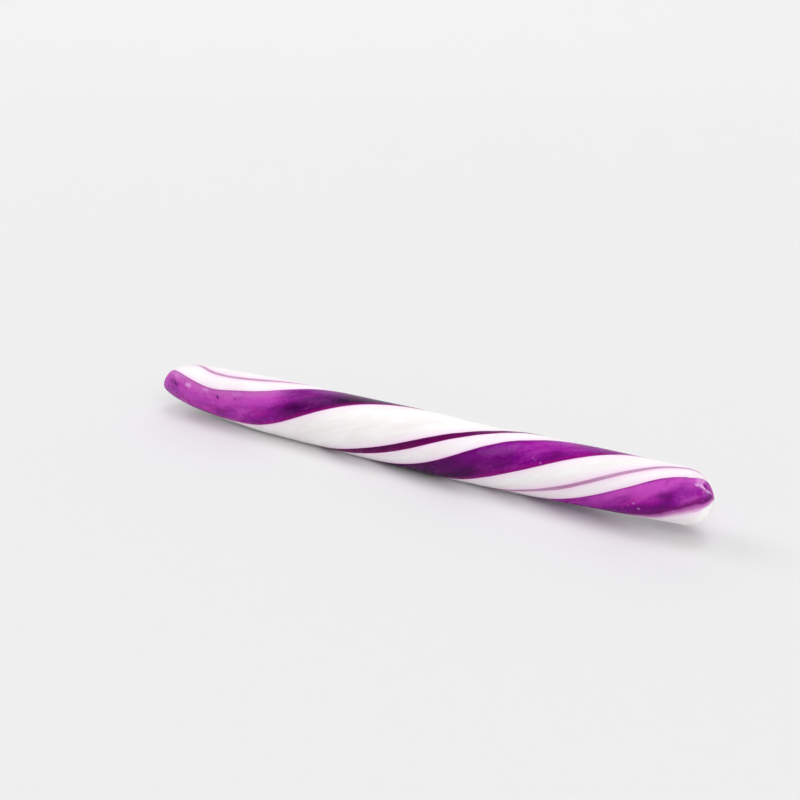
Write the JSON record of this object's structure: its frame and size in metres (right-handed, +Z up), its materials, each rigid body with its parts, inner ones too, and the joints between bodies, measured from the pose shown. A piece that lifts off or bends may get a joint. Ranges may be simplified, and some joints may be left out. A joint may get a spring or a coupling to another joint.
{
  "type": "striped candy stick",
  "caption": "Straight hand-pulled stick of hard boiled sugar, white with purple ribbons that twist slowly along it, both ends thinned and rounded, lying on its side.",
  "frame": {"origin": "on the surface the stick lies on, under the middle of its box", "axes": "+Z up, X along the stick with its thinner end at +X, Y across it"},
  "size_m": [0.17, 0.0164, 0.0166],
  "materials": {
    "white_sugar": "glossy, slightly see-through hard sugar",
    "violet_sugar": "glossy, see-through hard sugar",
    "plum_sugar": "glossy, see-through hard sugar",
    "mauve_sugar": "glossy hard sugar"
  },
  "bodies": {
    "root": {"white_body": "white_sugar", "medium_ribbon": "plum_sugar", "wide_ribbon_a": "violet_sugar", "thin_ribbon": "mauve_sugar", "wide_ribbon_b": "violet_sugar"}
  },
  "joints": []
}
